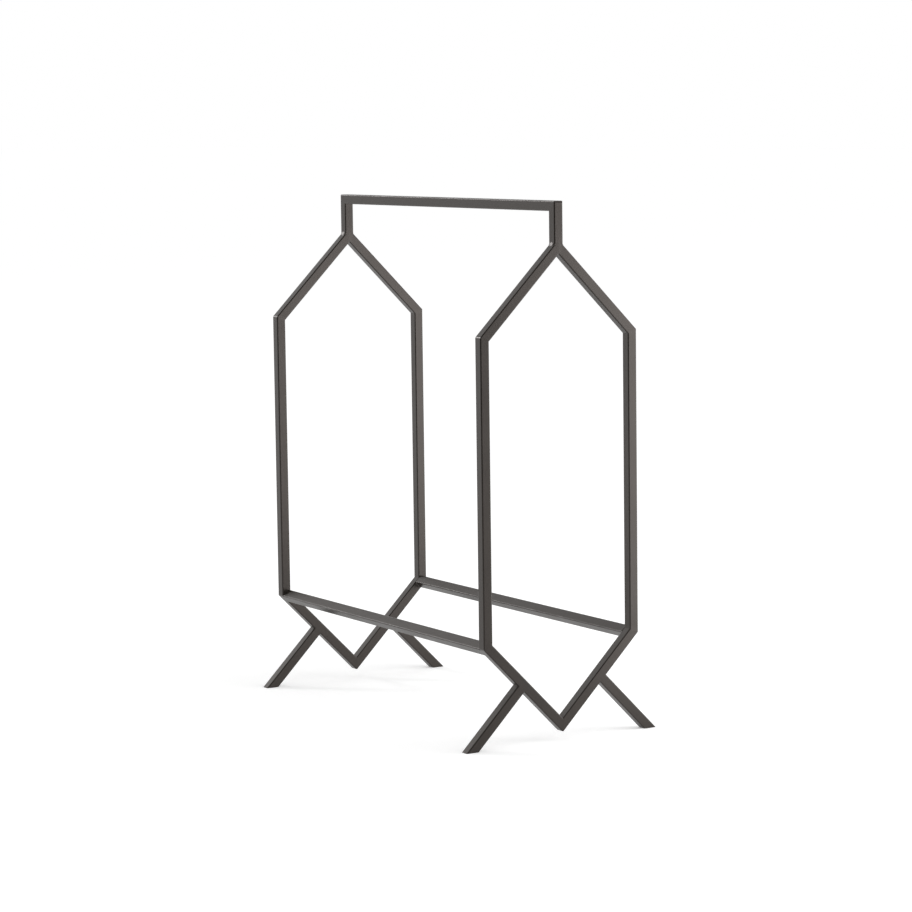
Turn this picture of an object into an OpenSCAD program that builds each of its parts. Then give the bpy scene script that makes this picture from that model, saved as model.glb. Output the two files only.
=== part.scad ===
// Record storage stand, welded from slim square steel tube.
// Two pointed six-sided frames stand upright, one in front and one behind.
// A pair of rails joins them at the lower corners, set on edge so that their
// upper faces make the two sides of a trough. A carrying handle bridges the two
// top points, and each frame stands on two splayed legs.
//
// Millimetres, +Z up. The origin is on the floor, midway between the feet.
// The front frame faces -Y and the rear frame faces +Y.

/* [Square tube] */
// Outside width of the tube
tube_w = 10; // [8:0.5:14]
// Wall thickness of the tube
tube_wall = 1; // [0.6:0.1:1.6]
// Radius on the tube's long edges
tube_edge_r = 1.2; // [0.6:0.1:2]

/* [Six-sided frames] */
// Width of a frame over its uprights
frame_w = 180; // [150:5:260]
// Height of an upright, from outer corner to outer corner
upright_h = 300; // [200:5:360]
// Slope of the diagonals that meet in the top and bottom points, in degrees
point_slope = 45; // [38:1:50]
// Gap between the bottom point of a frame and the floor
point_gap = 8; // [4:1:30]
// Distance between the front face and the rear face of the stand
stand_d = 416; // [200:2:600]
// Radius ground on the four wide outer corners of a frame
shoulder_ground_r = 4; // [1:0.5:8]
// Radius ground on the square outer corners of frames and handle
corner_ground_r = 2; // [0.5:0.1:3]

/* [Handle] */
// Height of the handle's top face above the top point of a frame
handle_rise = 37; // [30:1:70]

/* [Legs] */
// Distance from a frame's lower corner to the leg, along the diagonal
leg_start = 54.5; // [40:0.5:70]
// Slope of a leg from the floor, in degrees
leg_slope = 45; // [42:1:55]
// Thickness of the plate that closes a leg's foot
foot_cap_t = 1; // [0.6:0.1:2]

/* [Welds] */
// Side length of the fillet welds on the rails and the legs
weld_leg = 1.4; // [0.8:0.1:2]
// Side length of the wide fillet welds at the foot of a handle post
post_weld_leg = 3; // [1:0.5:4]

/* [Hidden] */

$fn = 48;
coat = [0.15, 0.14, 0.13];
bore_w = tube_w - 2 * tube_wall;
bore_edge_r = max(tube_edge_r - tube_wall, 0);

// How far a cutting shape reaches past what it cuts
over = 2 * tube_w;

// Heights of a frame's outer corners and points
point_h = frame_w / 2 * tan(point_slope);
lower_corner_z = point_gap + point_h;
upper_corner_z = lower_corner_z + upright_h;
top_point_z = upper_corner_z + point_h;
handle_z = top_point_z + handle_rise;

// Angles between a tube's outer edge and its end cuts
shoulder_cut = (90 + point_slope) / 2;
point_cut = 90 - point_slope;
handle_cut = 45;
square_cut = 90;
diagonal_l = frame_w / 2 / cos(point_slope);

// The lower edge of a leg runs from the floor up to the diagonal
leg_span = tube_w / sin(leg_slope + point_slope);
leg_low_x = frame_w / 2 - (leg_start + leg_span) * cos(point_slope);
leg_low_z = lower_corner_z - (leg_start + leg_span) * sin(point_slope);
leg_high_x = frame_w / 2 - leg_start * cos(point_slope);
leg_high_z = lower_corner_z - leg_start * sin(point_slope);
leg_l = leg_low_z / sin(leg_slope);
foot_x = leg_low_x + leg_low_z / tan(leg_slope);

rail_l = stand_d - 2 * tube_w;
post_l = handle_rise + tube_w / 2 * tan(point_slope);

// Welds stay on the flat part of a tube's face. The hollow of their own face is
// centred this many times as far out as one that meets both tubes smoothly.
flat_w = tube_w - 2 * tube_edge_r;
weld_hollow = 1.5;
weld_steps = 6;

// ---- Shapes that repeat ----

// A square with rounded corners, its lower left corner at the origin
module rounded_square(w, r) {
    if (r > 0) {
        translate([r, 0]) square([w - 2 * r, w]);
        translate([0, r]) square([w, w - 2 * r]);
        for (x = [r, w - r], y = [r, w - r])
            translate([x, y]) circle(r);
    }
    else square(w);
}

// The tube's section: hollow for a tube, solid for a slice that closes one
module tube_section(hollow) {
    difference() {
        rounded_square(tube_w, tube_edge_r);
        if (hollow)
            translate([tube_wall, tube_wall]) rounded_square(bore_w, bore_edge_r);
    }
}

// Everything left of a line that leaves the origin at an angle from +X
module beyond_cut(angle) {
    rotate([0, -angle, 0])
        translate([-2 * over, -over, 0])
            cube([4 * over, 3 * over, 2 * over]);
}

// What grinding takes off the outer corner of a mitre that is cut at an angle
module ground_corner(angle, r) {
    run = r / tan(angle);
    translate([0, tube_w / 2, 0])
        rotate([90, 0, 0])
            linear_extrude(2 * tube_w, center = true)
                difference() {
                    translate([-over, -over]) square([over + run, over + r]);
                    translate([run, r]) circle(r);
                }
}

// A tube along +X with its outer face on z = 0 and its body above it. The
// outer edge has length l, and each end is cut at its own angle from that
// edge: less than 90 degrees shortens the inner edge, and more lengthens it.
// A ground end has its outer corner rounded to that radius.
module cut_tube(l, start_cut, end_cut, start_ground = 0, end_ground = 0,
                hollow = true) {
    difference() {
        translate([-over, 0, 0])
            rotate([90, 0, 90])
                linear_extrude(l + 2 * over) tube_section(hollow);
        beyond_cut(start_cut);
        translate([l, 0, 0]) mirror([1, 0, 0]) beyond_cut(end_cut);
        if (start_ground > 0) ground_corner(start_cut, start_ground);
        if (end_ground > 0)
            translate([l, 0, 0]) mirror([1, 0, 0]) ground_corner(end_cut, end_ground);
    }
}

// Section of a weld that fills the corner between two faces, which run from
// the origin at two angles. Its own face is a hollow arc in a few flat steps.
module weld_section(leg, first_angle, second_angle) {
    half = (second_angle - first_angle) / 2;
    middle = (second_angle + first_angle) / 2;
    reach = weld_hollow * leg / cos(half);
    hollow_r = norm([reach - leg * cos(half), leg * sin(half)]);
    spread = asin(leg * sin(half) / hollow_r);
    polygon([
        [0, 0],
        for (i = [0:weld_steps])
            let (a = middle + 180 + spread * (1 - 2 * i / weld_steps))
                [
                    reach * cos(middle) + hollow_r * cos(a),
                    reach * sin(middle) + hollow_r * sin(a)
                ]
    ]);
}

// A weld of that section along +Y, with its middle at the origin
module fillet_weld(l, leg, first_angle, second_angle) {
    rotate([90, 0, 0])
        linear_extrude(l, center = true)
            weld_section(leg, first_angle, second_angle);
}

// ---- Members of a frame: the right-hand ones, with the front face on y = 0 ----

module upright() {
    translate([frame_w / 2, 0, lower_corner_z])
        rotate([0, -90, 0])
            cut_tube(upright_h, shoulder_cut, shoulder_cut,
                     shoulder_ground_r, shoulder_ground_r);
}

module lower_diagonal() {
    translate([0, 0, point_gap])
        rotate([0, -point_slope, 0])
            cut_tube(diagonal_l, point_cut, shoulder_cut,
                     corner_ground_r, shoulder_ground_r);
}

// The top point stays sharp, because the handle's post sits astride it
module upper_diagonal() {
    translate([0, 0, top_point_z])
        mirror([0, 0, 1])
            rotate([0, -point_slope, 0])
                cut_tube(diagonal_l, point_cut, shoulder_cut, 0, shoulder_ground_r);
}

module leg_tube(hollow) {
    translate([foot_x, 0, 0])
        mirror([1, 0, 0])
            rotate([0, -leg_slope, 0])
                cut_tube(leg_l, 180 - leg_slope, leg_slope + point_slope, hollow = hollow);
}

module foot_slab() {
    translate([foot_x - over, -tube_w / 2, -over])
        cube([3 * over, 2 * tube_w, over + foot_cap_t]);
}

module leg() {
    difference() {
        leg_tube(true);
        foot_slab();
    }
}

module foot_cap() {
    intersection() {
        leg_tube(false);
        foot_slab();
    }
}

module leg_weld_pair() {
    translate([leg_high_x, tube_w / 2, leg_high_z])
        fillet_weld(flat_w, weld_leg, -leg_slope, point_slope);
    translate([leg_low_x, tube_w / 2, leg_low_z])
        fillet_weld(flat_w, weld_leg, 180 + point_slope, 360 - leg_slope);
}

// The post's foot is notched to sit astride the frame's top point
module handle_post() {
    difference() {
        translate([-tube_w / 2, 0, handle_z])
            rotate([0, 90, 0])
                mirror([0, 1, 0])
                    rotate([90, 0, 0])
                        cut_tube(post_l + over, handle_cut, square_cut, corner_ground_r);
        rotate([90, 0, 0])
            linear_extrude(4 * tube_w, center = true)
                polygon([
                    [0, top_point_z],
                    [over, top_point_z - over * tan(point_slope)],
                    [over, top_point_z - 3 * over],
                    [-over, top_point_z - 3 * over],
                    [-over, top_point_z - over * tan(point_slope)]
                ]);
    }
}

// The rail's outer edge lies on the frame's corner, and its lower face is flush
// with the diagonal's
module rail() {
    translate([-frame_w / 2, rail_l / 2, lower_corner_z])
        rotate([90, 0, 0])
            linear_extrude(rail_l)
                rotate(-point_slope)
                    tube_section(true);
}

// Welds at the front end of the left rail, on its upper and its inner face
module rail_weld_pair() {
    upper_start = (tube_edge_r + weld_leg * cos(point_slope)) / sin(point_slope);
    upper_l = tube_w - tube_edge_r - upper_start;
    translate([-frame_w / 2, -rail_l / 2, lower_corner_z])
        rotate([0, point_slope, 0]) {
            translate([0, 0, upper_start])
                linear_extrude(upper_l)
                    weld_section(weld_leg, 90, 180);
            translate([tube_w, 0, tube_edge_r])
                linear_extrude(flat_w)
                    weld_section(weld_leg, 0, 90);
        }
}

// ---- Places ----

module in_front() {
    translate([0, -stand_d / 2, 0]) children();
}

module behind() {
    translate([0, stand_d / 2 - tube_w, 0]) children();
}

module on_left() {
    mirror([1, 0, 0]) children();
}

// ---- Sub-parts ----

module front_left_upright() {
    color(coat) in_front() on_left() upright();
}

module front_right_upright() {
    color(coat) in_front() upright();
}

module front_upper_left_diagonal() {
    color(coat) in_front() on_left() upper_diagonal();
}

module front_upper_right_diagonal() {
    color(coat) in_front() upper_diagonal();
}

module front_lower_left_diagonal() {
    color(coat) in_front() on_left() lower_diagonal();
}

module front_lower_right_diagonal() {
    color(coat) in_front() lower_diagonal();
}

module rear_left_upright() {
    color(coat) behind() on_left() upright();
}

module rear_right_upright() {
    color(coat) behind() upright();
}

module rear_upper_left_diagonal() {
    color(coat) behind() on_left() upper_diagonal();
}

module rear_upper_right_diagonal() {
    color(coat) behind() upper_diagonal();
}

module rear_lower_left_diagonal() {
    color(coat) behind() on_left() lower_diagonal();
}

module rear_lower_right_diagonal() {
    color(coat) behind() lower_diagonal();
}

module front_handle_post() {
    color(coat) in_front() handle_post();
}

module rear_handle_post() {
    color(coat) mirror([0, 1, 0]) in_front() handle_post();
}

module handle_bar() {
    color(coat)
        translate([tube_w / 2, -stand_d / 2, handle_z])
            rotate([0, 0, 90])
                mirror([0, 0, 1])
                    cut_tube(stand_d, handle_cut, handle_cut,
                             corner_ground_r, corner_ground_r);
}

module left_rail() {
    color(coat) rail();
}

module right_rail() {
    color(coat) mirror([1, 0, 0]) rail();
}

module front_left_leg() {
    color(coat) in_front() on_left() leg();
}

module front_right_leg() {
    color(coat) in_front() leg();
}

module rear_left_leg() {
    color(coat) behind() on_left() leg();
}

module rear_right_leg() {
    color(coat) behind() leg();
}

module front_left_foot_cap() {
    color(coat) in_front() on_left() foot_cap();
}

module front_right_foot_cap() {
    color(coat) in_front() foot_cap();
}

module rear_left_foot_cap() {
    color(coat) behind() on_left() foot_cap();
}

module rear_right_foot_cap() {
    color(coat) behind() foot_cap();
}

module handle_post_welds() {
    color(coat)
        for (end = [0, 1], side = [0, 1])
            mirror([0, end, 0])
                mirror([side, 0, 0])
                    translate([tube_w / 2, (tube_w - stand_d) / 2, handle_z - post_l])
                        fillet_weld(flat_w, post_weld_leg, -point_slope, 90);
}

module rail_welds() {
    color(coat)
        for (end = [0, 1], side = [0, 1])
            mirror([0, end, 0])
                mirror([side, 0, 0])
                    rail_weld_pair();
}

module leg_welds() {
    color(coat)
        for (end = [0, 1], side = [0, 1])
            mirror([0, end, 0])
                mirror([side, 0, 0])
                    in_front() leg_weld_pair();
}

front_left_upright();
front_right_upright();
front_upper_left_diagonal();
front_upper_right_diagonal();
front_lower_left_diagonal();
front_lower_right_diagonal();
rear_left_upright();
rear_right_upright();
rear_upper_left_diagonal();
rear_upper_right_diagonal();
rear_lower_left_diagonal();
rear_lower_right_diagonal();
front_handle_post();
rear_handle_post();
handle_bar();
left_rail();
right_rail();
front_left_leg();
front_right_leg();
rear_left_leg();
rear_right_leg();
front_left_foot_cap();
front_right_foot_cap();
rear_left_foot_cap();
rear_right_foot_cap();
handle_post_welds();
rail_welds();
leg_welds();
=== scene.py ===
import bmesh
import bpy
import math
from mathutils import Matrix, Vector


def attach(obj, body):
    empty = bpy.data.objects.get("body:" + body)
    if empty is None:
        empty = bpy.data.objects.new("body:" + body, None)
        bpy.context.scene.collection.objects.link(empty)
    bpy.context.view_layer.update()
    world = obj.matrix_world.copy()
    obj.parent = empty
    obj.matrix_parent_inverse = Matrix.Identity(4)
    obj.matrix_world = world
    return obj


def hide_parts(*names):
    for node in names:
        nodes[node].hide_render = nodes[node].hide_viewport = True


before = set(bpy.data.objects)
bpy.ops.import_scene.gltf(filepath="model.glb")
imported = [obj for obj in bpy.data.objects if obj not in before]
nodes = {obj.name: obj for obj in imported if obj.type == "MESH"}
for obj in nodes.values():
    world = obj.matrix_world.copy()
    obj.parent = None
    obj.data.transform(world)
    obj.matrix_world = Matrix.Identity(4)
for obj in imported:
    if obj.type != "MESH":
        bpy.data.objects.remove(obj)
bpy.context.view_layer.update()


# ---- Six-sided frames ----
# Each frame is six lengths of square steel tube, mitred and welded into a
# pointed hexagon. The welds are ground flush, the corners eased, and the whole
# stand is powder coated in satin black with a fine grain.

TUBE_W = 0.010
TUBE_EDGE_R = 0.0012
FRAME_HALF_W = 0.090
FRAME_MID_Y = 0.203
FRAME_MID_Z = 0.248
SHOULDER_RISE = 0.150
POINT_RISE = 0.240
HALF_SHOULDER_TURN = math.radians(22.5)
SLANT = math.sqrt(0.5)  # makes the sum or difference of two axes a distance at 45 degrees

COAT_COLOUR = (0.0182, 0.0148, 0.0116, 1)
COAT_THIN_COLOUR = (0.0140, 0.0115, 0.0090, 1)
COAT_EDGE_COLOUR = (0.0105, 0.0086, 0.0068, 1)
COAT_GLOSS_TINT = (1.0, 0.905, 0.860, 1)
COAT_IOR = 1.5
COAT_ROUGHNESS = 0.32, 0.38
SHADE_SPAN = 0.35, 0.65
GRAIN_SIZE = 0.0005
GRAIN_DEPTH = 0.00007
GRAIN_IN_HEIGHT = 0.35   # the rest is peel
GRAIN_IN_SHADE = 0.45    # the rest is drift
PEEL_SIZE = 0.0028
DRIFT_SCALE = 32.0
EDGE_FULL = 0.3          # times the tube's rounding
EDGE_THINNING = 0.7
EDGE_SMOOTHING = 0.04
SEAM_REACH = 0.004
SEAM_DEPTH = 0.0001
SEAM_SMOOTHING = 0.05
SEAM_LUMP_SCALE = 620.0


def feed(tree, socket, source):
    if isinstance(source, bpy.types.NodeSocket):
        tree.links.new(source, socket)
    else:
        socket.default_value = source


def math_node(tree, operation, *terms):
    made = tree.nodes.new("ShaderNodeMath")
    made.operation = operation
    for socket, term in zip(made.inputs, terms):
        feed(tree, socket, term)
    return made.outputs[0]


def plus(tree, first, second):
    return math_node(tree, "ADD", first, second)


def less(tree, first, second):
    return math_node(tree, "SUBTRACT", first, second)


def times(tree, first, second):
    return math_node(tree, "MULTIPLY", first, second)


def unsigned(tree, source):
    return math_node(tree, "ABSOLUTE", source)


def weighted(tree, first, second, share):
    return plus(tree, times(tree, first, share), times(tree, second, 1 - share))


def colour_mix(tree, mask, first, second):
    made = tree.nodes.new("ShaderNodeMix")
    made.data_type = "RGBA"
    feed(tree, made.inputs["Factor"], mask)
    colour_inputs = [socket for socket in made.inputs if socket.type == "RGBA"]
    for socket, colour in zip(colour_inputs, (first, second)):
        feed(tree, socket, colour)
    return next(socket for socket in made.outputs if socket.type == "RGBA")


def smooth_range(tree, source, low, high, first=0.0, last=1.0):
    made = tree.nodes.new("ShaderNodeMapRange")
    made.interpolation_type = "SMOOTHSTEP"
    for name, term in (("Value", source), ("From Min", low), ("From Max", high),
                       ("To Min", first), ("To Max", last)):
        feed(tree, made.inputs[name], term)
    return made.outputs["Result"]


def noise(tree, place, scale, detail, roughness):
    made = tree.nodes.new("ShaderNodeTexNoise")
    feed(tree, made.inputs["Vector"], place)
    feed(tree, made.inputs["Scale"], scale)
    feed(tree, made.inputs["Detail"], detail)
    feed(tree, made.inputs["Roughness"], roughness)
    return made.outputs["Fac"]


def bump(tree, height, depth, below=None):
    made = tree.nodes.new("ShaderNodeBump")
    made.inputs["Distance"].default_value = depth
    feed(tree, made.inputs["Height"], height)
    if below is not None:
        feed(tree, made.inputs["Normal"], below)
    return made.outputs["Normal"]


def effect_group(name, inputs, outputs):
    tree = bpy.data.node_groups.new(name, "ShaderNodeTree")
    for label, kind, start in inputs:
        socket = tree.interface.new_socket(label, in_out="INPUT", socket_type=kind)
        if start is not None:
            socket.default_value = start
    for label in outputs:
        tree.interface.new_socket(label, in_out="OUTPUT", socket_type="NodeSocketFloat")
    given = tree.nodes.new("NodeGroupInput").outputs
    return tree, given, tree.nodes.new("NodeGroupOutput").inputs


def use_group(tree, group, **sources):
    made = tree.nodes.new("ShaderNodeGroup")
    made.node_tree = group
    for label, source in sources.items():
        feed(tree, made.inputs[label], source)
    return made.outputs


# Powder coat: a fine grain of fused powder over a slow orange peel
powder, given, out = effect_group(
    "powder_grain",
    [("Place", "NodeSocketVector", None), ("Grain size", "NodeSocketFloat", GRAIN_SIZE),
     ("Peel size", "NodeSocketFloat", PEEL_SIZE)],
    ["Height", "Shade"])
grain_scale = math_node(powder, "DIVIDE", 1.0, given["Grain size"])
grain = noise(powder, given["Place"], grain_scale, detail=2.0, roughness=0.5)
peel_scale = math_node(powder, "DIVIDE", 1.0, given["Peel size"])
peel = noise(powder, given["Place"], peel_scale, detail=1.0, roughness=0.4)
drift = noise(powder, given["Place"], DRIFT_SCALE, detail=2.0, roughness=0.5)
feed(powder, out["Height"], weighted(powder, grain, peel, GRAIN_IN_HEIGHT))
feed(powder, out["Shade"], weighted(powder, grain, drift, GRAIN_IN_SHADE))

# Long edges of a tube, from how far a point is from the tube's middle line in
# its two directions. Powder draws back there and lies thinner and smoother.
tube_edge, given, out = effect_group(
    "tube_edge",
    [("Across", "NodeSocketFloat", 0.0), ("Through", "NodeSocketFloat", 0.0),
     ("Half width", "NodeSocketFloat", TUBE_W / 2),
     ("Rounding", "NodeSocketFloat", TUBE_EDGE_R)],
    ["Mask"])
margins = [less(tube_edge, given["Half width"], unsigned(tube_edge, given[label]))
           for label in ("Across", "Through")]
wider_margin = math_node(tube_edge, "MAXIMUM", *margins)
feed(tube_edge, out["Mask"], smooth_range(
    tube_edge, wider_margin, times(tube_edge, given["Rounding"], EDGE_FULL), given["Rounding"],
    first=1.0, last=0.0))

# Ground weld: a shallow, uneven swell that the grinder leaves on both sides of
# a seam, still to be felt through the coat
ground_seam, given, out = effect_group(
    "ground_seam",
    [("Place", "NodeSocketVector", None), ("Distance", "NodeSocketFloat", 1.0),
     ("Reach", "NodeSocketFloat", SEAM_REACH)],
    ["Height", "Mask"])
mask = smooth_range(ground_seam, unsigned(ground_seam, given["Distance"]),
                    0.0, given["Reach"], first=1.0, last=0.0)
lumps = noise(ground_seam, given["Place"], SEAM_LUMP_SCALE, detail=2.0, roughness=0.5)
feed(ground_seam, out["Height"], times(ground_seam, mask, lumps))
feed(ground_seam, out["Mask"], mask)


def new_material(name):
    material = bpy.data.materials.new(name)
    material.use_nodes = True
    return material, material.node_tree


def begin_coat(name):
    material, tree = new_material(name)
    place = tree.nodes.new("ShaderNodeTexCoord").outputs["Object"]
    split = tree.nodes.new("ShaderNodeSeparateXYZ")
    feed(tree, split.inputs[0], place)
    return material, tree, place, split.outputs["X"], split.outputs["Y"], split.outputs["Z"]


def finish_coat(tree, place, across=None, through=None, seam=None, seam_reach=SEAM_REACH):
    """across and through are a point's distances from the tube's middle line, and seam is
    its distance from the nearest weld"""
    surface = tree.nodes["Principled BSDF"]
    surface.inputs["Metallic"].default_value = 0.0
    surface.inputs["IOR"].default_value = COAT_IOR
    surface.inputs["Specular Tint"].default_value = COAT_GLOSS_TINT
    coat = use_group(tree, powder, Place=place)
    shade = smooth_range(tree, coat["Shade"], *SHADE_SPAN)
    colour = colour_mix(tree, shade, COAT_THIN_COLOUR, COAT_COLOUR)
    rough = smooth_range(tree, coat["Shade"], *SHADE_SPAN, *COAT_ROUGHNESS)
    normal = None
    if across is not None:
        edge = use_group(tree, tube_edge, Across=across, Through=through)["Mask"]
        colour = colour_mix(tree, times(tree, edge, EDGE_THINNING), colour, COAT_EDGE_COLOUR)
        rough = less(tree, rough, times(tree, edge, EDGE_SMOOTHING))
    if seam is not None:
        weld = use_group(tree, ground_seam, Place=place, Distance=seam, Reach=seam_reach)
        rough = less(tree, rough, times(tree, weld["Mask"], SEAM_SMOOTHING))
        normal = bump(tree, weld["Height"], SEAM_DEPTH)
    feed(tree, surface.inputs["Base Color"], colour)
    feed(tree, surface.inputs["Roughness"], rough)
    feed(tree, surface.inputs["Normal"], bump(tree, coat["Height"], GRAIN_DEPTH, normal))


def coat_nodes(material, names):
    for name in names:
        for slot in nodes[name].material_slots:
            slot.material = material


frame_coat, tree, place, x, y, z = begin_coat("frame_coat")
side = unsigned(tree, x)
rise = unsigned(tree, less(tree, z, FRAME_MID_Z))
from_upright = less(tree, FRAME_HALF_W, side)
from_slope = times(tree, less(tree, less(tree, POINT_RISE, side), rise), SLANT)
frame_across = less(tree, math_node(tree, "MINIMUM", from_upright, from_slope), TUBE_W / 2)
frame_through = less(tree, unsigned(tree, y), FRAME_MID_Y)
shoulder_seam = unsigned(tree, less(
    tree, times(tree, less(tree, rise, SHOULDER_RISE), math.cos(HALF_SHOULDER_TURN)),
    times(tree, less(tree, side, FRAME_HALF_W), math.sin(HALF_SHOULDER_TURN))))
frame_seam = math_node(tree, "MINIMUM", shoulder_seam, side)
finish_coat(tree, place, frame_across, frame_through, frame_seam)
coat_nodes(frame_coat, [
    f"{end}_{part}" for end in ("front", "rear") for part in (
        "left_upright", "right_upright", "upper_left_diagonal", "upper_right_diagonal",
        "lower_left_diagonal", "lower_right_diagonal")])


# ---- Rails ----
# Two lengths of the same tube, turned on edge so that their upper inner faces
# make the two sides of a trough. They are cut square and welded between the
# frames at the lower corners.

LOWER_CORNER_Z = 0.098
RAIL_HALF_L = 0.198
RAIL_SEAM_REACH = 0.003

rail_coat, tree, place, x, y, z = begin_coat("rail_coat")
inward = less(tree, FRAME_HALF_W, unsigned(tree, x))
above = less(tree, z, LOWER_CORNER_Z)
rail_across = less(tree, times(tree, less(tree, inward, above), SLANT), TUBE_W / 2)
rail_through = less(tree, times(tree, plus(tree, inward, above), SLANT), TUBE_W / 2)
rail_end = less(tree, RAIL_HALF_L, unsigned(tree, y))
finish_coat(tree, place, rail_across, rail_through, rail_end, RAIL_SEAM_REACH)
coat_nodes(rail_coat, ["left_rail", "right_rail"])


# ---- Legs and foot plates ----
# Four short splayed legs, one under each lower diagonal. The upper end is cut
# square to the diagonal's lower face and the foot is cut level with the floor,
# where a thin plate closes it.

FOOT_X = 0.096780  # where a leg's under face meets the floor
POINT_GAP = 0.008
LEG_SEAM_REACH = 0.003

leg_coat, tree, place, x, y, z = begin_coat("leg_coat")
side = unsigned(tree, x)
leg_across = less(tree, times(tree, plus(tree, less(tree, side, FOOT_X), z), SLANT), TUBE_W / 2)
leg_through = less(tree, unsigned(tree, y), FRAME_MID_Y)
leg_seam = times(tree, less(tree, plus(tree, side, POINT_GAP), z), SLANT)
finish_coat(tree, place, leg_across, leg_through, leg_seam, LEG_SEAM_REACH)
coat_nodes(leg_coat, [
    f"{end}_{hand}_{part}" for end in ("front", "rear") for hand in ("left", "right")
    for part in ("leg", "foot_cap")])


# ---- Handle ----
# A straight bar mitred to two posts. Each post is notched at its foot so that
# it sits astride a frame's top point, where it is welded along both slopes.

HANDLE_Z = 0.525
FRONT_Y = 0.208
TOP_POINT_Z = 0.488


def from_mitre(tree, y, z):
    """How far a point is from the mitre between the bar and the nearer post"""
    past_end = less(tree, unsigned(tree, y), FRONT_Y)
    return times(tree, less(tree, past_end, less(tree, z, HANDLE_Z)), SLANT)


post_coat, tree, place, x, y, z = begin_coat("post_coat")
post_through = less(tree, unsigned(tree, y), FRAME_MID_Y)
post_top = from_mitre(tree, y, z)
post_foot = times(tree, less(tree, plus(tree, z, unsigned(tree, x)), TOP_POINT_Z), SLANT)
post_seam = math_node(tree, "MINIMUM", unsigned(tree, post_top), unsigned(tree, post_foot))
finish_coat(tree, place, x, post_through, post_seam)
coat_nodes(post_coat, ["front_handle_post", "rear_handle_post"])

bar_coat, tree, place, x, y, z = begin_coat("bar_coat")
bar_through = less(tree, z, HANDLE_Z - TUBE_W / 2)
finish_coat(tree, place, x, bar_through, from_mitre(tree, y, z))
coat_nodes(bar_coat, ["handle_bar"])


# ---- Fillet welds ----
# Short hand-laid beads in the inner corners where posts, rails and legs meet
# the frames. They are left as laid: rippled, slightly hollow, rounded off at
# both ends, and coated over with the tubes.

RIGHT = Vector((1, 0, 0))
BACK = Vector((0, 1, 0))
UP = Vector((0, 0, 1))
UP_RIGHT = (RIGHT + UP).normalized()
DOWN_RIGHT = (RIGHT - UP).normalized()

WELD_L = TUBE_W - 2 * TUBE_EDGE_R
WELD_LEG = 0.0014
POST_WELD_LEG = 0.003
BEAD_SUNK = 0.0003
BEAD_TOE = 1.1           # times the weld's leg, as the next two are
BEAD_HOLLOW = 0.22
BEAD_END_L = 0.9
BEAD_END_SIZE = 0.35     # times the bead's full size
RIPPLE_L = 0.0011
RIPPLE_SIZE = 0.010      # times the bead's full size
BEAD_STEPS = 40
ARC_STEPS = 8

FILL_TOE = 1.15          # times the tube's rounding
FILL_TOE_SUNK = 0.00002
FILL_SUNK = 0.00005
FILL_END_SIZE = 0.05     # times the filling's full size
FILL_TAPER_L = 0.0018
FILL_STEPS = 24

CREASE = math.radians(38)
MERGE_DISTANCE = 0.0000001

# The front frame's outer and inner face, and the way that each one looks
FRAME_FACES = (-FRONT_Y, -BACK), (-RAIL_HALF_L, BACK)


def everything(bm):
    return bm.verts[:] + bm.edges[:] + bm.faces[:]


def draw_out(bm, section, root, run, length, steps, size_at):
    """Extrudes a section step by step along a run, each step sized about the root line"""
    face = bm.faces.new([bm.verts.new(point - run * length / 2) for point in section])
    at = root - run * length / 2
    size = size_at(0.0)
    bmesh.ops.scale(bm, vec=(size, size, size), space=Matrix.Translation(-at), verts=face.verts)
    for step in range(1, steps + 1):
        grown = bmesh.ops.extrude_face_region(bm, geom=[face])["geom"]
        if step > 1:
            bmesh.ops.delete(bm, geom=[face], context="FACES_ONLY")
        face = next(part for part in grown
                    if isinstance(part, bmesh.types.BMFace) and len(part.verts) == len(section))
        bmesh.ops.translate(bm, verts=face.verts, vec=run * length / steps)
        at = at + run * length / steps
        change = size_at(step / steps) / size
        size = size * change
        bmesh.ops.scale(bm, vec=(change, change, change), space=Matrix.Translation(-at),
                        verts=face.verts)


def bead_size(length, leg):
    ripples = max(round(length / RIPPLE_L), 3)

    def size_at(along):
        from_end = min(along, 1 - along) * length
        rounding = math.sqrt(max(1 - (1 - min(from_end / (BEAD_END_L * leg), 1)) ** 2, 0))
        ripple = RIPPLE_SIZE * math.sin(2 * math.pi * ripples * along)
        return BEAD_END_SIZE + (1 - BEAD_END_SIZE) * rounding + ripple * rounding
    return size_at


def lay_bead(bm, root, run, first, second, length, leg):
    """The root is sunk a little into both tubes, so that the toes run out into their faces"""
    sunk = root - (first + second).normalized() * BEAD_SUNK
    hollow = root + (first + second) * leg * BEAD_HOLLOW
    toes = sunk + first * leg * BEAD_TOE, sunk + second * leg * BEAD_TOE
    arc = [toes[0] * (1 - t) ** 2 + hollow * 2 * t * (1 - t) + toes[1] * t * t
           for t in (step / ARC_STEPS for step in range(ARC_STEPS + 1))]
    draw_out(bm, [sunk] + arc, sunk, run, length, BEAD_STEPS, bead_size(length, leg))


def fill_groove(bm, corner, run, flush, covered, length, first_taper, last_taper):
    """Fills the hollow that a tube's rounded edge leaves against the end of another tube,
    level with the face that both share. flush and covered point out of the tube's faces."""
    centre = corner - (flush + covered) * TUBE_EDGE_R
    surface = centre + (flush + covered).normalized() * TUBE_EDGE_R
    section = [corner, corner - covered * TUBE_EDGE_R * FILL_TOE - flush * FILL_TOE_SUNK]
    for step in range(ARC_STEPS + 1):
        turn = math.radians(90) * step / ARC_STEPS
        outward = flush * math.cos(turn) + covered * math.sin(turn)
        section.append(centre + outward * (TUBE_EDGE_R - FILL_SUNK))

    def size_at(along):
        first = min(along * length / first_taper, 1) if first_taper else 1
        last = min((1 - along) * length / last_taper, 1) if last_taper else 1
        return FILL_END_SIZE + (1 - FILL_END_SIZE) * math.sin(min(first, last) * math.pi / 2)
    draw_out(bm, section, surface, run, length, FILL_STEPS, size_at)


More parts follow.
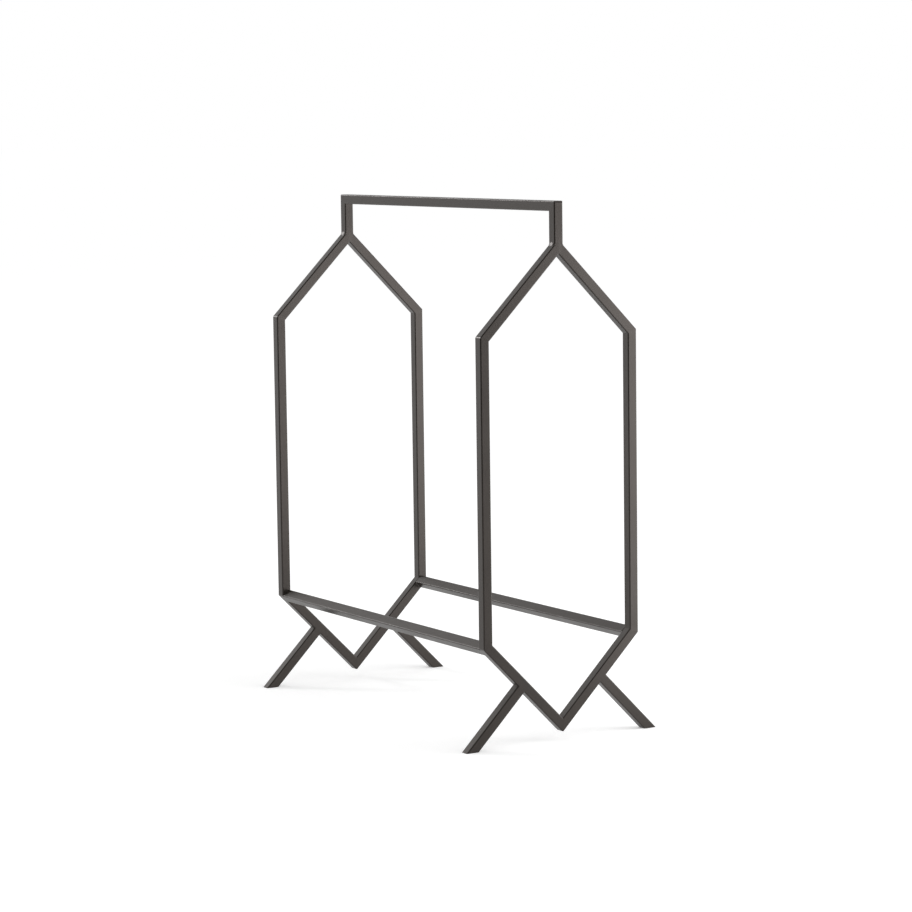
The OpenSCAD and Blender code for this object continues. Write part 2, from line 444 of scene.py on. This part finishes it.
def add_mirrored(bm, flip):
    copied = bmesh.ops.duplicate(bm, geom=everything(bm))["geom"]
    corners = [part for part in copied if isinstance(part, bmesh.types.BMVert)]
    bmesh.ops.scale(bm, vec=flip, verts=corners)


def make_object(name, bm, material):
    mesh = bpy.data.meshes.new(name)
    bm.to_mesh(mesh)
    bm.free()
    mesh.materials.append(material)
    made = bpy.data.objects.new(name, mesh)
    bpy.context.scene.collection.objects.link(made)
    return made


def finish_beads(name, bm, replaced):
    """Mirrors the beads of one front corner to the other three and makes them one piece"""
    add_mirrored(bm, (-1, 1, 1))
    add_mirrored(bm, (1, -1, 1))
    bmesh.ops.remove_doubles(bm, verts=bm.verts, dist=MERGE_DISTANCE)
    bmesh.ops.recalc_face_normals(bm, faces=bm.faces)
    for face in bm.faces:
        face.smooth = True
    for edge in bm.edges:
        if edge.calc_face_angle(0) > CREASE:
            edge.smooth = False
    piece = make_object(name, bm, weld_coat)
    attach(piece, "root")
    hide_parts(replaced)


weld_coat, tree, place = begin_coat("weld_coat")[:3]
finish_coat(tree, place)

# Post feet: the fillings start past the frame's mitre and are cut off at its middle
POST_FILL_L = 0.011
POST_FILL_PAST = 0.003
bm = bmesh.new()
post_fill_middle = DOWN_RIGHT * (POST_FILL_L / 2 - POST_FILL_PAST)
for face_y, flush in FRAME_FACES:
    fill_groove(bm, Vector((0, face_y, TOP_POINT_Z)) + post_fill_middle,
                DOWN_RIGHT, flush, UP_RIGHT, POST_FILL_L, 0, FILL_TAPER_L)
bmesh.ops.bisect_plane(bm, geom=everything(bm), dist=MERGE_DISTANCE,
                       plane_co=(0, 0, 0), plane_no=(1, 0, 0), clear_inner=True)
post_side = Vector((TUBE_W / 2, -FRAME_MID_Y, TOP_POINT_Z - TUBE_W / 2))
lay_bead(bm, post_side, BACK, DOWN_RIGHT, UP, WELD_L, POST_WELD_LEG)
finish_beads("post_beads", bm, "handle_post_welds")

# Legs: the two corners where a leg's faces meet the under face of its diagonal
LEG_HIGH = Vector((0.051463, -FRAME_MID_Y, 0.059463))
LEG_LOW = Vector((0.044392, -FRAME_MID_Y, 0.052392))
bm = bmesh.new()
lay_bead(bm, LEG_HIGH, BACK, DOWN_RIGHT, UP_RIGHT, WELD_L, WELD_LEG)
lay_bead(bm, LEG_LOW, BACK, -UP_RIGHT, DOWN_RIGHT, WELD_L, WELD_LEG)
for face_y, flush in FRAME_FACES:
    seam_middle = (LEG_HIGH + LEG_LOW) / 2
    seam_middle.y = face_y
    fill_groove(bm, seam_middle, UP_RIGHT, flush, DOWN_RIGHT, TUBE_W, FILL_TAPER_L, FILL_TAPER_L)
finish_beads("leg_beads", bm, "leg_welds")

# Rail ends: a bead on the upper outer face, one on the lower inner face, and a
# filling level with the lower outer face
RAIL_FILL_L = 0.009
RAIL_FILL_MIDDLE = 0.0055
bm = bmesh.new()
rail_corner = Vector((-FRAME_HALF_W, -RAIL_HALF_L, LOWER_CORNER_Z))
upper_start = TUBE_EDGE_R * math.sqrt(2) + WELD_LEG
upper_end = TUBE_W - TUBE_EDGE_R
lay_bead(bm, rail_corner + UP_RIGHT * (upper_start + upper_end) / 2, UP_RIGHT,
         BACK, -DOWN_RIGHT, upper_end - upper_start, WELD_LEG)
lay_bead(bm, rail_corner + DOWN_RIGHT * TUBE_W + UP_RIGHT * TUBE_W / 2, UP_RIGHT,
         DOWN_RIGHT, BACK, WELD_L, WELD_LEG)
fill_groove(bm, rail_corner + DOWN_RIGHT * RAIL_FILL_MIDDLE, DOWN_RIGHT, -UP_RIGHT, BACK,
            RAIL_FILL_L, FILL_TAPER_L, FILL_TAPER_L)
finish_beads("rail_beads", bm, "rail_welds")


# ---- Studio ----
# A pale sheet of floor in a white room. A large soft light stands close by at
# the front right, and another far behind at the left glints on ground corners
# and welds. Behind the camera the room is dark: a dark sheet seen only in glosses
# paints its reflection, which draws thin dark lines on edges.

WHITE = (1, 1, 1, 1)
WALL_STRENGTH = 0.67           # as the walls light the stand
WALL_SHOWN_STRENGTH = 1.0      # as the camera and the glosses see them
FLOOR_HALF_W = 30
FLOOR_MIDDLE = (0, 29.1, 0)
FLOOR_COLOUR = (0.8, 0.8, 0.8, 1)
FLOOR_SHOWN_COLOUR = (0.95, 0.95, 0.95, 1)
# The floor glows less near the stand. This is a painted shade around it, seen by the camera and
# in glosses, that lets the stand's shadow show.
GLOW_SPAN = 0.25, 0.75         # metres from the middle of the stand
GLOW_STRENGTH = 0.275, 0.365   # at the two ends of that span
# The flag is a dark sheet seen only in glosses: a painted reflection of a dark room behind the
# camera
FLAG_SIZE = (8.0, 12.5, 1)     # times a grid one metre wide
FLAG_PLACE = (0, -4.2, 3.75)   # before its turn about the stand
FLAG_TURN = -40
FLAG_COLOUR = (0.02, 0.02, 0.02, 1)
FLAG_ROUGHNESS = 0.9
CAMERA_PLACE = (-1.58172, -2.59458, 0.60464)
CAMERA_TURN = -31.51
CAMERA_TILT = 6.46
CAMERA_ROLL = -0.76
CAMERA_LENS = 117.743
CAMERA_SENSOR_W = 36
CAMERA_REACH = 200

scene = bpy.context.scene
scene.view_settings.view_transform = "Standard"


def seen_rays(tree):
    """1 for what the camera sees, straight or in a gloss, and 0 for what lights the stand"""
    paths = tree.nodes.new("ShaderNodeLightPath").outputs
    seen = math_node(tree, "MAXIMUM", paths["Is Camera Ray"], paths["Is Glossy Ray"])
    return math_node(tree, "MAXIMUM", seen, paths["Is Transmission Ray"])


def aimed(place, turn, tilt, roll):
    """Faces +Y until it is rolled, tilted down and turned, all in degrees"""
    return (Matrix.Translation(place) @ Matrix.Rotation(math.radians(turn), 4, "Z")
            @ Matrix.Rotation(math.radians(90 - tilt), 4, "X")
            @ Matrix.Rotation(math.radians(roll), 4, "Z"))


room = bpy.data.worlds.new("white_room")
room.use_nodes = True
walls = room.node_tree.nodes["Background"]
walls.inputs["Color"].default_value = WHITE
feed(room.node_tree, walls.inputs["Strength"], smooth_range(
    room.node_tree, seen_rays(room.node_tree), 0.0, 1.0, WALL_STRENGTH, WALL_SHOWN_STRENGTH))
scene.world = room

floor_paint, tree = new_material("floor_paint")
tree.nodes.remove(tree.nodes["Principled BSDF"])
plain = tree.nodes.new("ShaderNodeBsdfDiffuse")
plain.inputs["Color"].default_value = FLOOR_COLOUR
shown = tree.nodes.new("ShaderNodeBsdfDiffuse")
shown.inputs["Color"].default_value = FLOOR_SHOWN_COLOUR
glow = tree.nodes.new("ShaderNodeEmission")
glow.inputs["Color"].default_value = WHITE
# Glow that falls off towards the stand: a painted shade on the floor around it
from_stand = tree.nodes.new("ShaderNodeVectorMath")
from_stand.operation = "LENGTH"
feed(tree, from_stand.inputs[0], tree.nodes.new("ShaderNodeTexCoord").outputs["Object"])
feed(tree, glow.inputs["Strength"], smooth_range(
    tree, from_stand.outputs["Value"], *GLOW_SPAN, *GLOW_STRENGTH))
both = tree.nodes.new("ShaderNodeAddShader")
feed(tree, both.inputs[0], shown.outputs[0])
feed(tree, both.inputs[1], glow.outputs[0])
choose = tree.nodes.new("ShaderNodeMixShader")
feed(tree, choose.inputs[0], seen_rays(tree))
feed(tree, choose.inputs[1], plain.outputs[0])
feed(tree, choose.inputs[2], both.outputs[0])
feed(tree, tree.nodes["Material Output"].inputs["Surface"], choose.outputs[0])

bm = bmesh.new()
bmesh.ops.create_grid(bm, x_segments=1, y_segments=1, size=FLOOR_HALF_W)
bmesh.ops.translate(bm, verts=bm.verts, vec=FLOOR_MIDDLE)
floor = make_object("floor", bm, floor_paint)


def soft_light(name, size, energy, place, turn, tilt, roll):
    light = bpy.data.lights.new(name, "AREA")
    light.shape = "RECTANGLE"
    light.size, light.size_y = size
    light.energy = energy
    stand = bpy.data.objects.new(name, light)
    stand.matrix_world = aimed(place, turn, tilt, roll)
    stand.visible_camera = False
    scene.collection.objects.link(stand)


soft_light("large_light", size=(1.07, 0.60), energy=5.0, place=(0.723, -0.368, 0.28),
           turn=20, tilt=0, roll=6)
soft_light("rear_light", size=(0.93, 0.93), energy=63, place=(-2.54, 4.88, 2.44),
           turn=-153.4, tilt=20.1, roll=0)

# A dark sheet that the camera, the light and shadows pass through, seen only in glosses: it
# paints dark reflections on the edges
dark_reflection_sheet, tree = new_material("dark_reflection_sheet")
surface = tree.nodes["Principled BSDF"]
surface.inputs["Base Color"].default_value = FLAG_COLOUR
surface.inputs["Roughness"].default_value = FLAG_ROUGHNESS
bm = bmesh.new()
bmesh.ops.create_grid(bm, x_segments=1, y_segments=1, size=0.5)
bmesh.ops.scale(bm, vec=FLAG_SIZE, verts=bm.verts)
bmesh.ops.transform(bm, verts=bm.verts, matrix=(
    Matrix.Rotation(math.radians(FLAG_TURN), 4, "Z") @ Matrix.Translation(FLAG_PLACE)
    @ Matrix.Rotation(math.radians(90), 4, "X")))
flag = make_object("dark_flag", bm, dark_reflection_sheet)
flag.visible_camera = flag.visible_diffuse = flag.visible_shadow = False

camera = bpy.data.cameras.new("camera")
camera.lens = CAMERA_LENS
camera.sensor_width = CAMERA_SENSOR_W
camera.clip_end = CAMERA_REACH
camera_stand = bpy.data.objects.new("camera", camera)
camera_stand.matrix_world = aimed(CAMERA_PLACE, CAMERA_TURN, CAMERA_TILT, CAMERA_ROLL)
scene.collection.objects.link(camera_stand)
scene.camera = camera_stand
